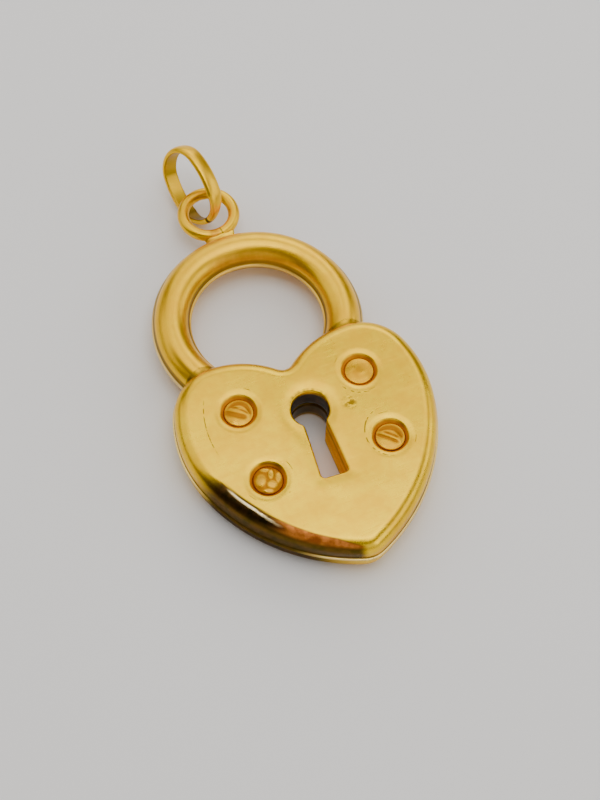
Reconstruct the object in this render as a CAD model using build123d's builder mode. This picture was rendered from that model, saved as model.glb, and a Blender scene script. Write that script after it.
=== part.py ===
from build123d import *
from math import atan2, cos, hypot, radians, sin, sqrt
import os

# A small heart padlock charm of hollow gold, lying on its back with a loose bail.
# Millimetres, Z up. X runs across the heart, Y from its tip towards the bail.
# Z = 0 is the surface that the flat back rests on, and the origin is halfway along.

# Heart outline at the seam, measured from the centre of its wide round flanks
flank_radius = 7.75
lobe_reach = 4.3
left_lobe_rise = 4.9
right_lobe_rise = 4.5
notch_rise = 2.9
notch_radius = 0.5
side_radius = 11.6
tip_drop = 9.7
tip_radius = 1.7

# Shells of the case
sheet = 0.3
back_height = 1.45
front_height = 1.45
face_dome = 0.15
edge_radius = 0.85
seam_lip = 0.12
seam_thickness = 0.22

# Shackle, a bent hollow tube of oval section
shackle_rise = 7.0
shackle_radius = 5.17
shackle_width = 2.14
shackle_height = 2.4
shackle_entry = 45.0

# Keyhole through both shells, with its edges turned in
keyhole_shift = 0.16
keyhole_rise = -0.25
keyhole_turn = -5.0
keyhole_radius = 1.1
slot_length = 4.4
slot_top_width = 1.2
slot_foot_width = 1.62
slot_corner = 0.25
turned_in_depth = 0.75
turned_in_wall = 0.25

# Cups sunk in the front, on a pattern centred below the flanks' centre
cup_radius = 1.08
cup_depth = 0.35
cup_wall = 0.25
cup_span_x = 7.55
cup_span_y = 4.6
cup_pattern_rise = -1.2
cup_pattern_turn = -2.0

# Screw heads, each on a short shank through its cup
head_radius = 0.86
head_height = 0.18
head_dome = 0.14
slot_cut_width = 0.2
slot_cut_depth = 0.14
slot_cut_angle = -38.0
shank_radius = 0.4
shank_length = 0.6
seat_clearance = 0.02

# Jump ring in the plane of the seam, soldered on top of the shackle
ring_radius = 1.57
ring_wire = 0.72
ring_shift = 0.3
ring_stand_off = 0.04
solder_width = 1.8
solder_height = 0.6

# Bail, an oval loop of strip through the jump ring
bail_length = 5.18
bail_width = 3.66
bail_side_radius = 5.0
strip_width = 1.04
strip_thickness = 0.36
strip_round = 0.24
strip_foot_width = 0.56
strip_taper = 1.2
taper_round = 2.0
end_gap = 0.12
bail_slip = 0.19
bail_turn = -6.0
bail_rise = 21.0
bail_lean = 27.9
floor_clearance = 0.01

# Bail directions: along the loop, across it, and along the strip's width
along = Vector(
    cos(radians(bail_rise)) * sin(radians(bail_turn)),
    cos(radians(bail_rise)) * cos(radians(bail_turn)),
    sin(radians(bail_rise)),
)
level = along.cross(Vector(0, 0, 1)).normalized()
upward = level.cross(along)
strip_axis = level * cos(radians(bail_lean)) - upward * sin(radians(bail_lean))
across = strip_axis.cross(along)

# The loop's outer oval is four tangent arcs: two flat sides and two round ends
half_length = bail_length / 2
half_width = bail_width / 2
bail_end_radius = (
    2 * bail_side_radius * half_width - half_width**2 - half_length**2
) / (2 * (bail_side_radius - half_length))
bail_end_centre = half_length - bail_end_radius
bail_side_centre = bail_side_radius - half_width


def bail_reach(direction):
    """How far the loop reaches from its centre in a direction, by the arc that faces it."""
    lengthwise = abs(along.dot(direction))
    crosswise = abs(across.dot(direction))
    facing = hypot(lengthwise, crosswise)
    if lengthwise * bail_side_centre > crosswise * bail_end_centre:
        reach = bail_end_centre * lengthwise + bail_end_radius * facing
    else:
        reach = bail_side_radius * facing - bail_side_centre * crosswise
    return reach + abs(strip_axis.dot(direction)) * strip_width / 2


# Places along Y, measured from the flanks' centre
lip_outer_radius = shackle_radius + shackle_width / 2 + seam_lip
lip_inner_radius = shackle_radius - shackle_width / 2 - seam_lip
ring_rise = shackle_rise + lip_outer_radius + ring_stand_off + ring_radius + ring_wire / 2
bail_centre_offset = along * (half_length - strip_thickness / 2 - bail_slip)
bail_top = ring_rise + bail_centre_offset.Y + bail_reach(Vector(0, 1, 0))
heart_y = -(bail_top - tip_drop) / 2

seam_z = back_height
seam_plane = Plane((0, heart_y, seam_z))
cup_floor = front_height - cup_depth


def arc(centre, start, end):
    """The arc about a centre from start to end, the short way round."""
    half_way = (start - centre) + (end - centre)
    middle = centre + half_way.normalized() * (start - centre).length
    return ThreePointArc(start, middle, end)


def heart_half(side, lobe_rise):
    """The arcs of one half of the heart, from its notch over the lobe and flank to its tip."""
    notch = Vector(0, notch_rise)
    lobe_top = Vector(side * lobe_reach, lobe_rise)
    notch_depth = lobe_rise - notch_rise
    inner_radius = (lobe_reach**2 + notch_depth**2) / (2 * notch_depth)
    shoulder_radius = (flank_radius**2 - lobe_reach**2 - lobe_rise**2) / (
        2 * (flank_radius - lobe_rise)
    )
    shoulder_centre = lobe_top - Vector(0, shoulder_radius)
    flank_start = shoulder_centre.normalized() * flank_radius
    tip_centre = Vector(0, tip_radius - tip_drop)
    flank_gap = side_radius - flank_radius
    tip_gap = side_radius - tip_radius
    side_centre_y = (tip_gap**2 - flank_gap**2 - tip_centre.Y**2) / (-2 * tip_centre.Y)
    side_centre_x = -side * sqrt(flank_gap**2 - side_centre_y**2)
    side_centre = Vector(side_centre_x, side_centre_y)
    flank_end = -side_centre.normalized() * flank_radius
    tip_start = tip_centre + (tip_centre - side_centre).normalized() * tip_radius
    arc(lobe_top - Vector(0, inner_radius), notch, lobe_top)
    arc(shoulder_centre, lobe_top, flank_start)
    arc(Vector(0, 0), flank_start, flank_end)
    arc(side_centre, flank_end, tip_start)
    arc(tip_centre, tip_start, Vector(0, -tip_drop))


# Heart outline at the seam lip
with BuildSketch() as heart:
    with BuildLine():
        heart_half(-1, left_lobe_rise)
        heart_half(1, right_lobe_rise)
    make_face()
    fillet(heart.vertices().sort_by_distance((0, notch_rise))[0], notch_radius)


def puffed_heart(shell):
    """The heart body inside its lip, with rounded edges, set in by a shell all round."""
    dome_radius = (flank_radius**2 + face_dome**2) / (2 * face_dome)
    with BuildPart() as body:
        with BuildSketch(seam_plane.offset(shell - back_height)):
            add(heart.sketch)
            offset(amount=-seam_lip - shell, mode=Mode.REPLACE)
        extrude(amount=back_height + front_height + face_dome - 2 * shell)
        with Locations((0, heart_y, seam_z + front_height + face_dome - dome_radius)):
            Sphere(dome_radius - shell, mode=Mode.INTERSECT)
        rims = body.faces().sort_by(Axis.Z)[0].edges() + body.faces().sort_by(Axis.Z)[-1].edges()
        fillet(rims, edge_radius - shell)
    return body.part


def bent_tube(shell):
    """The shackle's bent tube, set in by a shell all round."""
    start = Vector(cos(radians(shackle_entry)), -sin(radians(shackle_entry)))
    centre = Vector(0, heart_y + shackle_rise, seam_z)
    with BuildPart() as tube:
        with BuildSketch(Plane(centre, x_dir=start, z_dir=start.cross(Vector(0, 0, 1)))):
            with Locations((shackle_radius, 0)):
                Ellipse(shackle_width / 2 - shell, shackle_height / 2 - shell)
        revolve(axis=Axis(centre, (0, 0, 1)), revolution_arc=180 + 2 * shackle_entry)
    return tube.part


# Keyhole outline, a round hole over a slot that widens to its foot
with BuildSketch() as keyhole:
    Circle(keyhole_radius)
    with BuildLine():
        Polyline(
            (-slot_top_width / 2, 0),
            (-slot_foot_width / 2, -slot_length),
            (slot_foot_width / 2, -slot_length),
            (slot_top_width / 2, 0),
            close=True,
        )
    make_face()
    fillet(keyhole.vertices().group_by(Axis.Y)[0], slot_corner)

turned = Vector(cos(radians(keyhole_turn)), sin(radians(keyhole_turn)))
keyhole_plane = Plane((keyhole_shift, heart_y + keyhole_rise, seam_z), x_dir=turned)

pattern_turned = Vector(cos(radians(cup_pattern_turn)), sin(radians(cup_pattern_turn)))
cup_plane = Plane((0, heart_y + cup_pattern_rise, seam_z), x_dir=pattern_turned)

# Case, shackle, jump ring and solder, one hollow solid
with BuildPart() as padlock:
    add(puffed_heart(0))
    add(bent_tube(0))
    with BuildSketch(seam_plane.offset(-seam_thickness / 2)):
        with Locations((0, shackle_rise)):
            Circle(lip_outer_radius)
            Circle(lip_inner_radius, mode=Mode.SUBTRACT)
        add(heart.sketch)
    extrude(amount=seam_thickness)
    with Locations((ring_shift, heart_y + ring_rise, seam_z)):
        Torus(ring_radius, ring_wire / 2)
    with BuildSketch(seam_plane.offset(-solder_height / 2)):
        solder_foot = shackle_rise + shackle_radius + shackle_width / 2 - sheet / 2
        solder_length = ring_rise - ring_radius - solder_foot
        with Locations((ring_shift, solder_foot + solder_length / 2)):
            Rectangle(solder_width, solder_length)
    extrude(amount=solder_height)
    # Hollow inside both shells and the tube
    add(puffed_heart(sheet), mode=Mode.SUBTRACT)
    add(bent_tube(sheet), mode=Mode.SUBTRACT)
    # Turned-in walls of the keyhole, front and back
    with BuildSketch(keyhole_plane.offset(front_height - turned_in_depth)):
        add(keyhole.sketch)
        offset(amount=turned_in_wall, mode=Mode.REPLACE)
    extrude(amount=turned_in_depth)
    with BuildSketch(keyhole_plane.offset(-back_height)):
        add(keyhole.sketch)
        offset(amount=turned_in_wall, mode=Mode.REPLACE)
    extrude(amount=turned_in_depth)
    # Cups of the screws
    with BuildSketch(cup_plane.offset(cup_floor - cup_wall)):
        with GridLocations(cup_span_x, cup_span_y, 2, 2):
            Circle(cup_radius + cup_wall)
    extrude(amount=cup_depth + cup_wall)
    with BuildSketch(cup_plane.offset(cup_floor)):
        with GridLocations(cup_span_x, cup_span_y, 2, 2):
            Circle(cup_radius)
    extrude(amount=cup_depth + 2 * face_dome, mode=Mode.SUBTRACT)
    with BuildSketch(cup_plane.offset(cup_floor - cup_wall)):
        with GridLocations(cup_span_x, cup_span_y, 2, 2):
            Circle(shank_radius + seat_clearance)
    extrude(amount=cup_wall, mode=Mode.SUBTRACT)
    # Keyhole through front and back
    with BuildSketch(keyhole_plane.offset(-back_height)):
        add(keyhole.sketch)
    extrude(amount=back_height + front_height + 2 * face_dome, mode=Mode.SUBTRACT)
padlock.part.label = "padlock"

# Screw heads: name, column and row on the cup pattern, and number of crossing slots
screw_table = [
    {"name": "screw_top_left", "column": -0.5, "row": 0.5, "slots": 1},
    {"name": "screw_top_right", "column": 0.5, "row": 0.5, "slots": 0},
    {"name": "screw_low_left", "column": -0.5, "row": -0.5, "slots": 2},
    {"name": "screw_low_right", "column": 0.5, "row": -0.5, "slots": 1},
]


def screw(row):
    """A domed head in its cup, with its slots, on a shank through the cup's floor."""
    seat = cup_floor + seat_clearance
    place = (row["column"] * cup_span_x, row["row"] * cup_span_y)
    dome_radius = (head_radius**2 + head_dome**2) / (2 * head_dome)
    top = seat + head_height + head_dome
    origin = cup_plane.from_local_coords(Vector(*place))
    slot_turn = radians(slot_cut_angle)
    slot_dir = Vector(cos(slot_turn), sin(slot_turn))
    slot_plane = Plane(origin + Vector(0, 0, top - slot_cut_depth), x_dir=slot_dir)
    with BuildPart() as body:
        with BuildSketch(cup_plane.offset(seat)):
            with Locations(place):
                Circle(head_radius)
        extrude(amount=head_height + head_dome)
        with Locations(origin + Vector(0, 0, top - dome_radius)):
            Sphere(dome_radius, mode=Mode.INTERSECT)
        with BuildSketch(cup_plane.offset(seat - shank_length)):
            with Locations(place):
                Circle(shank_radius)
        extrude(amount=shank_length)
        if row["slots"]:
            with BuildSketch(slot_plane):
                with PolarLocations(0, row["slots"], angular_range=90 * row["slots"]):
                    Rectangle(2 * head_radius, slot_cut_width)
            extrude(amount=slot_cut_depth, mode=Mode.SUBTRACT)
    body.part.label = row["name"]
    return body.part


# Bail, an oval plate rounded at its edges, narrowed to its foot and cut to a strip
bail_centre = Vector(ring_shift, heart_y + ring_rise, seam_z) + bail_centre_offset
bail_plane = Plane(bail_centre, x_dir=along, z_dir=strip_axis)
side_plane = Plane(bail_centre, x_dir=along, z_dir=across)

with BuildSketch() as bail_oval:
    side_reach = atan2(bail_end_centre, bail_side_centre)
    join_x = bail_side_radius * sin(side_reach)
    join_y = bail_side_radius * cos(side_reach) - bail_side_centre
    with BuildLine():
        ThreePointArc((-join_x, join_y), (0, half_width), (join_x, join_y))
        ThreePointArc((join_x, join_y), (half_length, 0), (join_x, -join_y))
        ThreePointArc((join_x, -join_y), (0, -half_width), (-join_x, -join_y))
        ThreePointArc((-join_x, -join_y), (-half_length, 0), (-join_x, join_y))
    make_face()

with BuildPart() as bail:
    with BuildSketch(bail_plane):
        add(bail_oval.sketch)
    extrude(amount=strip_width / 2, both=True)
    with BuildSketch(side_plane) as strip_side:
        with BuildLine():
            Polyline(
                (-half_length, -strip_foot_width / 2),
                (strip_taper - half_length, -strip_width / 2),
                (half_length, -strip_width / 2),
                (half_length, strip_width / 2),
                (strip_taper - half_length, strip_width / 2),
                (-half_length, strip_foot_width / 2),
                close=True,
            )
        make_face()
        fillet(strip_side.vertices().group_by(Axis.X)[1], taper_round)
    extrude(amount=half_width, both=True, mode=Mode.INTERSECT)
    sides = bail.faces().filter_by(GeomType.PLANE)
    fillet(sides.edges(), strip_round)
    with BuildSketch(bail_plane):
        add(bail_oval.sketch)
        offset(amount=-strip_thickness, mode=Mode.REPLACE)
    extrude(amount=strip_width, both=True, mode=Mode.SUBTRACT)
    with BuildSketch(bail_plane):
        with Locations((-half_length, 0)):
            Rectangle(3 * strip_thickness, end_gap)
    extrude(amount=strip_width, both=True, mode=Mode.SUBTRACT)
# The loop is lowered until it lies on the surface
bail.part = Pos(Z=floor_clearance - bail.part.bounding_box().min.Z) * bail.part
bail.part.label = "bail"

os.makedirs("parts", exist_ok=True)
export_step(padlock.part, "parts/padlock.step")
for row in screw_table:
    export_step(screw(row), "parts/" + row["name"] + ".step")
export_step(bail.part, "parts/bail.step")
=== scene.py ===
import math

import bpy
import numpy as np
from mathutils import Matrix, Vector


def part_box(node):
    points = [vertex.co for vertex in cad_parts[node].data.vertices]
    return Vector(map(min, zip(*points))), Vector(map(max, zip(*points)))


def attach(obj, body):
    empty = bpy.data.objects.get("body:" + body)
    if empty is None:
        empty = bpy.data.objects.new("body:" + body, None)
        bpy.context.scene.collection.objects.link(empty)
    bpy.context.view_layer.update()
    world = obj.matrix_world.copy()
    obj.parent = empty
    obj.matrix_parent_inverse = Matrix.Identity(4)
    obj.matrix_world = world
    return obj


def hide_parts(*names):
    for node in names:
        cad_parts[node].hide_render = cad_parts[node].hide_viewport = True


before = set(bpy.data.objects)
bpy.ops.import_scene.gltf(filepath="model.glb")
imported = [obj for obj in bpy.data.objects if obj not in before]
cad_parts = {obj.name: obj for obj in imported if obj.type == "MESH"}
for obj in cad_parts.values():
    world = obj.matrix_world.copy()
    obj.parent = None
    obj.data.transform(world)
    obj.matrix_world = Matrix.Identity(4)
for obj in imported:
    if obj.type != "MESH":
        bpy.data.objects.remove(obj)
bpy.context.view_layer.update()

# Shapes are worked out in millimetres and become metres when a mesh, lamp or camera is made
MM = 0.001

# Heart outline at the seam, from the centre of its wide round flanks
flank_radius = 7.75
lobe_reach = 4.3
left_lobe_rise = 4.9
right_lobe_rise = 4.5
notch_rise = 2.9
notch_radius = 0.5
side_radius = 11.6
tip_drop = 9.7
tip_radius = 1.7

# Stamped shells
sheet = 0.3
shell_height = 1.45
face_dome = 0.15
edge_radius = 0.85
seam_lip = 0.12
seam_thickness = 0.22
seam_round = 0.05
seam_fillet = 0.06
seam_parting = 0.012

# Keyhole, turned a little on the face
keyhole_shift = 0.16
keyhole_rise = -0.25
keyhole_turn = math.radians(-5)
keyhole_radius = 1.1
slot_length = 4.4
slot_top_width = 1.2
slot_foot_width = 1.62
slot_corner = 0.25
neck_round = 0.3
turned_in_depth = 1.38
turned_in_wall = 0.25
keyhole_lip = 0.16
keyhole_dish = 0.11
keyhole_dish_reach = 0.42

# Cups of the screws: a soft dish, a rounded lip and a sloping wall, and their heads
cup_radius = 1.03
cup_floor_rise = 1.1
cup_dish = 0.34
cup_dish_drop = 0.05
cup_lip = 0.12
cup_wall_slope = math.radians(50)
cup_foot_radius = 0.872
cup_skirt = 1.50
cup_hump = 0.42
hump_reach = 2.3
head_radius = 0.86
head_edge = 0.07
head_height = 0.18
head_dome = 0.14
shank_radius = 0.4
shank_length = 0.6

# Shackle, jump ring and the solder between them
shackle_rise = 7.0
shackle_radius = 5.17
shackle_width = 2.14
shackle_height = 2.4
shackle_entry = math.radians(45)
ring_radius = 1.57
ring_wire = 0.72
ring_shift = 0.3
solder_width = 1.8
solder_height = 0.6

# Bail, an oval loop of half-round strip
bail_length = 5.18
bail_width = 3.66
bail_side_radius = 5.0
strip_width = 1.04
strip_thickness = 0.36
strip_round = 0.24
strip_foot_width = 0.56
strip_taper = 1.2
crown_power = 2.6
end_gap = 0.12
bail_slip = 0.19
bail_turn = math.radians(-6)
bail_rise = math.radians(21)
bail_lean = math.radians(27.9)

# Steps of the meshes: points round a piece and along or across it
case_columns = 520
tube_steps = (420, 40)
ring_steps = (220, 56)
solder_steps = (60, 96)
bail_steps = 400
head_steps = 160

# Where the painted dark band on the lower left edge, the painted shade in the keyhole and other marks
# begin and end, each as the values at which it is nought and full
dark_band_begins = (186, 204)
dark_band_ends = (268.5, 265)
lip_dark_band_ends = (258, 240)
slot_begins = (-0.75, -1.05)
keyhole_edge = (0.14, 0.02)

# Bearings of the joint in the ring's wire and of the solder beside it
joint_bearing = 277
patch_bearing = 262

# Camera, as far from the pendant as the photograph's perspective says
photo_height = 800
focal_pixels = 1800
sensor = 36
camera_distance = 105.88
camera_elevation = math.radians(62.397)
camera_turn = math.radians(26.598)
camera_roll = math.radians(2.791)
camera_aim = (0.2, 1.2)


def node_box(name):
    """A solid's lowest and highest corner, in millimetres."""
    low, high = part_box(name)
    return np.array(low) / MM, np.array(high) / MM


case_low, case_high = node_box("padlock")
seam_z = shell_height
heart_centre = np.array([0.0, case_low[1] + tip_drop])
camera_target = np.append(heart_centre + camera_aim, seam_z)
shackle_centre = heart_centre + [0, shackle_rise]
ring_centre = np.array([ring_shift, case_high[1] - ring_radius - ring_wire / 2])


def turned(angle):
    """The unit vector at an angle, for whole arrays of angles."""
    return np.stack([np.cos(angle), np.sin(angle)], axis=-1)


def full_turn(steps):
    """Even angles once round."""
    return np.arange(steps) / steps * math.tau


def away(x, y, centre):
    """Distance from a centre, in plan."""
    return np.hypot(x - centre[0], y - centre[1])


def bearing(x, y, centre):
    """Angle in degrees about a centre, anticlockwise from its right."""
    return np.degrees(np.mod(np.arctan2(y - centre[1], x - centre[0]), math.tau))


def triples(*values):
    """Three values for each point, side by side. A number is the same at every point."""
    return np.stack(np.broadcast_arrays(*values), axis=-1)


def placed(plan, height):
    """Points of a plan at a height that may be the same along a row or column of them."""
    height = np.broadcast_to(height, plan.shape[:-1])
    return np.concatenate([plan, height[..., None]], axis=-1)


def fade(value, none, full):
    """Nought at the value none, one at the value full, and a smooth step between them."""
    share = np.clip((value - none) / (full - none), 0, 1)
    return share * share * (3 - 2 * share)


# Outlines


def outline(start, normal, rows):
    """A smooth closed outline made of arcs and straight runs, walked anticlockwise. A row holds a
    signed radius, the angle that the outward normal turns to, and the straight run after the arc.
    Each piece keeps its length, curvature, first heading and first point."""
    first_heading = normal + math.pi / 2
    pieces = []
    for radius, angle, run in rows:
        pieces.append(((angle - normal) * radius, 1 / radius))
        pieces.append((run, 0.0))
        normal = angle
    length, curvature = np.array(pieces).T
    heading = first_heading + np.append(0, np.cumsum(length * curvature)[:-1])
    steps = chord(length, curvature, heading)
    origin = np.array(start) + np.vstack([[0, 0], np.cumsum(steps, axis=0)[:-1]])
    return {"length": length, "curvature": curvature, "heading": heading, "origin": origin}


def chord(distance, curvature, heading):
    """The step from an arc's start to a point along it: distance times sinc of half the turn,
    pointing halfway between the first and last heading. A straight run is the case of no turn."""
    turn = distance * curvature
    size = distance * np.sinc(turn / math.tau)
    return size[..., None] * turned(heading + turn / 2)


def walk(path, distance):
    """Points and outward normals at distances along an outline."""
    ends = np.cumsum(path["length"])
    distance = np.mod(distance, ends[-1])
    piece = np.minimum(np.searchsorted(ends, distance, side="right"), len(ends) - 1)
    local = distance - (ends - path["length"])[piece]
    curvature = path["curvature"][piece]
    heading = path["heading"][piece]
    points = path["origin"][piece] + chord(local, curvature, heading)
    return points, turned(heading + curvature * local - math.pi / 2)


def heart_outline():
    """The heart from its notch over the left lobe to the tip and back over the right lobe. Each half
    is an inner arc, a shoulder, a flank, a long side and a tip arc, all tangent, and one small arc
    rounds the notch between the two inner arcs."""
    right_angle = math.pi / 2
    halves = []
    for side, rise in ((-1, left_lobe_rise), (1, right_lobe_rise)):
        depth = rise - notch_rise
        inner = (lobe_reach**2 + depth**2) / (2 * depth)
        shoulder = (flank_radius**2 - lobe_reach**2 - rise**2) / (2 * (flank_radius - rise))
        flank_start = math.pi - math.atan2(rise - shoulder, lobe_reach)
        halves.append((inner, shoulder, flank_start, np.array([side * lobe_reach, rise - inner])))
    (inner_l, shoulder_l, start_l, centre_l), (inner_r, shoulder_r, start_r, centre_r) = halves
    # The long side's circle touches the flank circle and the tip circle from outside both
    flank_gap = side_radius - flank_radius
    tip_gap = side_radius - tip_radius
    tip_centre = tip_radius - tip_drop
    side_y = (tip_gap**2 - flank_gap**2 - tip_centre**2) / (-2 * tip_centre)
    side_x = math.sqrt(flank_gap**2 - side_y**2)
    flank_end = math.pi + math.atan2(side_y, side_x)
    tip_start = math.pi + math.atan2(side_y - tip_centre, side_x)
    # The notch arc touches both inner circles
    apart = np.linalg.norm(centre_r - centre_l)
    reach_l = inner_l + notch_radius
    reach_r = inner_r + notch_radius
    forward = (reach_l**2 - reach_r**2 + apart**2) / (2 * apart)
    upward = math.sqrt(reach_l**2 - forward**2)
    across = (centre_r - centre_l) / apart
    notch = centre_l + across * forward + np.array([-across[1], across[0]]) * upward
    leave = math.atan2(*(notch - centre_l)[::-1])
    arrive = math.atan2(*(notch - centre_r)[::-1])
    mirror = 3 * math.pi
    rows = [
        (-notch_radius, leave, 0),
        (inner_l, right_angle, 0),
        (shoulder_l, start_l, 0),
        (flank_radius, flank_end, 0),
        (side_radius, tip_start, 0),
        (tip_radius, 3 * right_angle, 0),
        (tip_radius, mirror - tip_start, 0),
        (side_radius, mirror - flank_end, 0),
        (flank_radius, mirror - start_r, 0),
        (shoulder_r, 5 * right_angle, 0),
        (inner_r, arrive + math.tau, 0),
        (-notch_radius, 5 * right_angle, 0),
    ]
    return outline(heart_centre + notch - [0, notch_radius], right_angle, rows)


def keyhole_outline():
    """A round hole over a slot that widens to its foot, walked from the top of the round. A small arc
    softens each neck corner, where the round meets the slot."""
    flare = (slot_foot_width - slot_top_width) / 2
    slant = math.hypot(flare, slot_length)
    down = np.array([-flare, -slot_length]) / slant
    outward = np.array([-slot_length, flare]) / slant
    top = np.array([-slot_top_width / 2, 0]) + neck_round * outward
    neck_reach = keyhole_radius + neck_round
    drop = -top @ down + math.sqrt((top @ down) ** 2 - top @ top + neck_reach**2)
    neck = top + drop * down
    foot = np.array([-slot_top_width / 2, 0]) - slot_corner * outward
    foot = foot + down * (slot_length - slot_corner + foot[1]) / -down[1]
    run = (foot + slot_corner * outward - neck + neck_round * outward) @ down
    neck_angle = math.tau + math.atan2(neck[1], neck[0])
    side_angle = math.pi - math.atan2(flare, slot_length)
    mirror = 3 * math.pi
    rows = [
        (keyhole_radius, neck_angle, 0),
        (-neck_round, side_angle, run),
        (slot_corner, 1.5 * math.pi, -2 * foot[0]),
        (slot_corner, mirror - side_angle, run),
        (-neck_round, mirror - neck_angle, 0),
        (keyhole_radius, 2.5 * math.pi, 0),
    ]
    return outline((0, keyhole_radius), math.pi / 2, rows)


keyhole_place = heart_centre + [keyhole_shift, keyhole_rise]
keyhole_x = turned(keyhole_turn)
keyhole_y = turned(keyhole_turn + math.pi / 2)

# Shares of the way down each half outline that face each other across the face
fan_heart = [0, 0.17, 0.45, 0.54, 0.80, 0.90, 1]
fan_keyhole = [0, 0.12, 0.26, 0.43, 0.85, 0.92, 1]


def fan(columns):
    """Points and outward normals of the heart and the keyhole, column by column. Columns are even
    along the heart, and each meets the keyhole at the share that faces it."""
    heart = heart_outline()
    keyhole = keyhole_outline()
    around = np.arange(columns) / columns
    share = 1 - np.abs(1 - 2 * around)
    left = around < 0.5
    ends = np.cumsum(heart["length"])
    tip_at = ends[11]
    heart_at = np.where(left, share * tip_at, ends[-1] - share * (ends[-1] - tip_at))
    half_keyhole = keyhole["length"].sum() / 2
    keyhole_share = np.interp(share, fan_heart, fan_keyhole)
    keyhole_at = half_keyhole * np.where(left, keyhole_share, 2 - keyhole_share)
    outer, outer_normal = walk(heart, heart_at)
    inner, inner_normal = walk(keyhole, keyhole_at)
    place = inner[:, :1] * keyhole_x + inner[:, 1:] * keyhole_y + keyhole_place
    normal = inner_normal[:, :1] * keyhole_x + inner_normal[:, 1:] * keyhole_y
    return outer, outer_normal, place, normal


def by_keyhole(x, y):
    """Places told from the middle of the keyhole's round: across it, and up along its slot."""
    from_x = x - keyhole_place[0]
    from_y = y - keyhole_place[1]
    across = from_x * keyhole_x[0] + from_y * keyhole_x[1]
    return across, from_x * keyhole_y[0] + from_y * keyhole_y[1]


def keyhole_gap(x, y):
    """Distance from the keyhole's edge: the lesser of the distances to the round and to the slot,
    blended smoothly where they meet."""
    across, up = by_keyhole(x, y)
    to_round = np.hypot(across, up) - keyhole_radius
    share = np.clip(-up / slot_length, 0, 1)
    half = (slot_top_width + (slot_foot_width - slot_top_width) * share) / 2
    beside = np.abs(across) - half
    beyond = np.maximum(up, -slot_length - up)
    to_slot = np.hypot(np.maximum(beside, 0), np.maximum(beyond, 0))
    softness = 6.0
    return -np.log(np.exp(-softness * to_round) + np.exp(-softness * to_slot)) / softness


# Shallow unevenness of the face: wave length, direction, phase and height
face_waves = [
    (5.2, 0.4, 0.3, 0.007),
    (3.7, 1.9, 1.7, 0.005),
    (6.8, 2.6, 4.0, 0.008),
    (2.3, 1.1, 2.2, 0.002),
]


def front_level(x, y):
    """Height of the front face: a very flat dome, less a soft dish round the keyhole that is deepest
    by its round, plus a few shallow sine waves from hand finishing."""
    dome = (flank_radius**2 + face_dome**2) / (2 * face_dome)
    from_centre = (x - heart_centre[0]) ** 2 + (y - heart_centre[1]) ** 2
    level = seam_z + shell_height + face_dome - from_centre / (2 * dome)
    gap = np.maximum(keyhole_gap(x, y), 0)
    by_round = 0.35 + 0.65 * fade(by_keyhole(x, y)[1], -2.2, -0.8)
    level = level - keyhole_dish * by_round * np.exp(-((gap / keyhole_dish_reach) ** 2))
    for length, direction, phase, height in face_waves:
        along = x * math.cos(direction) + y * math.sin(direction)
        level = level + height * np.sin(math.tau * along / length + phase)
    return level


# Meshes


def grid_faces(rows, columns, close_rows=False):
    """Four-sided faces of a grid whose columns close on themselves, as an array of rows by columns."""
    row = np.arange(rows if close_rows else rows - 1)[:, None]
    column = np.arange(columns)[None, :]
    above = (row + 1) % rows
    beside = (column + 1) % columns
    corners = np.broadcast_arrays(
        row * columns + column,
        above * columns + column,
        above * columns + beside,
        row * columns + beside,
    )
    return np.stack(corners, axis=-1)


def cap(ring, middle):
    """Triangles from a ring of points, in its order, to one point in its middle."""
    return np.stack([ring, np.roll(ring, -1), np.full_like(ring, middle)], axis=-1)


def signed_volume(points, faces):
    """The volume that faces enclose, negative when they face inward: each face is split into
    triangles from its first corner, and each triangle gives a sixth of its triple product."""
    total = 0.0
    for block in faces:
        for second in range(1, block.shape[1] - 1):
            a, b, c = (points[block[:, corner]] for corner in (0, second, second + 1))
            total += np.einsum("ij,ij->", a, np.cross(b, c)) / 6
    return total


def make_piece(name, node, material, points, faces, wear_and_shade, highlights_and_marks=None, track=None):
    """A mesh from points in millimetres and arrays of four- and three-sided faces. Points that no
    face uses are dropped, and all faces are turned over if the volume comes out negative. The wear
    values hold, from 0 to 1 at each point, a deeper colour in recesses that is painted shade, grime
    with painted shade, and a coppery stain with painted reflection; the marks hold pale metal, mostly
    painted highlights, and unpolished metal; and track the way along and round a strip."""
    if highlights_and_marks is None:
        highlights_and_marks = np.zeros_like(wear_and_shade)
    if signed_volume(points, faces) < 0:
        faces = [block[:, ::-1] for block in faces]
    used = np.unique(np.concatenate([block.ravel() for block in faces]))
    renumber = np.zeros(len(points), dtype=np.int32)
    renumber[used] = np.arange(len(used))
    corners = renumber[np.concatenate([block.ravel() for block in faces])]
    sizes = np.concatenate([np.full(len(block), block.shape[1]) for block in faces])
    mesh = bpy.data.meshes.new(name)
    mesh.vertices.add(len(used))
    mesh.vertices.foreach_set("co", (points[used] * MM).astype(np.float32).ravel())
    mesh.loops.add(len(corners))
    mesh.loops.foreach_set("vertex_index", corners.astype(np.int32))
    mesh.polygons.add(len(sizes))
    starts = np.concatenate([[0], np.cumsum(sizes)[:-1]])
    mesh.polygons.foreach_set("loop_start", starts.astype(np.int32))
    mesh.update(calc_edges=True)
    mesh.shade_smooth()
    for attribute, values in (("wear_and_shade", wear_and_shade), ("highlights_and_marks", highlights_and_marks), ("track", track)):
        if values is not None:
            layer = mesh.attributes.new(attribute, "FLOAT_VECTOR", "POINT")
            layer.data.foreach_set("vector", values[used].astype(np.float32).ravel())
    mesh.materials.append(material)
    piece = bpy.data.objects.new(name, mesh)
    bpy.context.scene.collection.objects.link(piece)
    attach(piece, "root")
    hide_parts(node)


# Case


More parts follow.
